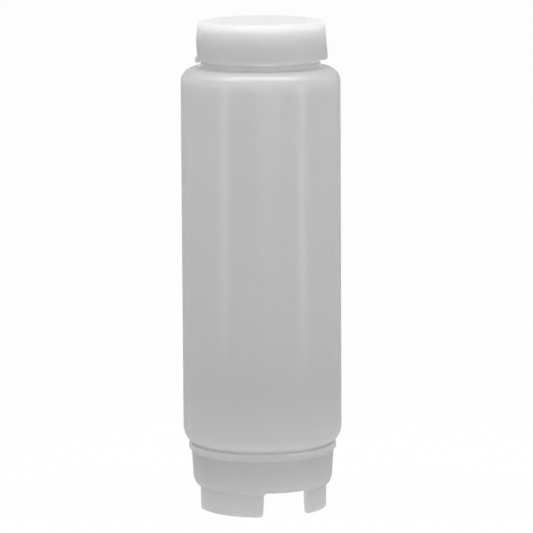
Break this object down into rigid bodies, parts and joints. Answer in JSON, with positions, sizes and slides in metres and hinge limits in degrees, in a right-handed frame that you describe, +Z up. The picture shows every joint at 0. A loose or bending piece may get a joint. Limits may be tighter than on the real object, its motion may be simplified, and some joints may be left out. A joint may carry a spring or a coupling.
{
  "type": "condiment squeeze bottle",
  "caption": "Tall round squeeze bottle with a hinged refill lid on a screw collar above and a footed screw cap with a slit valve below.",
  "frame": {"origin": "centre of the round body, on the counter that the feet stand on", "axes": "+Z up along the bottle, from the feet to the lid; +X from the lid's thumb lip to its hinge; the picture looks along +Y"},
  "size_m": [0.07, 0.07, 0.2159],
  "materials": {
    "bottle_plastic": "translucent milky polyethylene, satin",
    "cap_plastic": "translucent moulded polyethylene, satin",
    "lid_plastic": "white moulded polyethylene, satin",
    "silicone": "clear silicone, matte",
    "seal_foam": "closed-cell foam, matte",
    "retainer_plastic": "moulded polypropylene, satin"
  },
  "bodies": {
    "bottle": {"bottle_body": "bottle_plastic"},
    "upper_seal": {"refill_seal": "seal_foam"},
    "collar": {"refill_collar": "cap_plastic"},
    "lid": {"refill_lid": "lid_plastic"},
    "lower_seal": {"dispensing_seal": "seal_foam"},
    "cap": {"dispensing_cap": "cap_plastic", "slit_valve": "silicone", "valve_retainer": "retainer_plastic"}
  },
  "joints": [
    {"name": "collar_rise", "type": "slide", "parent": "bottle", "child": "upper_seal", "axis": [0, 0, 1], "range_m": [0, 0.00424]},
    {"name": "collar_turn", "type": "hinge", "parent": "upper_seal", "child": "collar", "pos_m": [0, 0, 0.2069], "axis": [0, 0, 1], "range_deg": [0, 360]},
    {"name": "lid_flip", "type": "hinge", "parent": "collar", "child": "lid", "pos_m": [0.02945, 0, 0.19955], "axis": [0, 1, 0], "range_deg": [0, 135]},
    {"name": "cap_drop", "type": "slide", "parent": "bottle", "child": "lower_seal", "axis": [0, 0, -1], "range_m": [0, 0.00424]},
    {"name": "cap_turn", "type": "hinge", "parent": "lower_seal", "child": "cap", "pos_m": [0, 0, 0.0146], "axis": [0, 0, -1], "range_deg": [0, 360]}
  ],
  "couplings": [
    {"joint": "collar_rise", "follows": "collar_turn", "m_per_rad": 0.00067323},
    {"joint": "cap_drop", "follows": "cap_turn", "m_per_rad": 0.00067323}
  ]
}
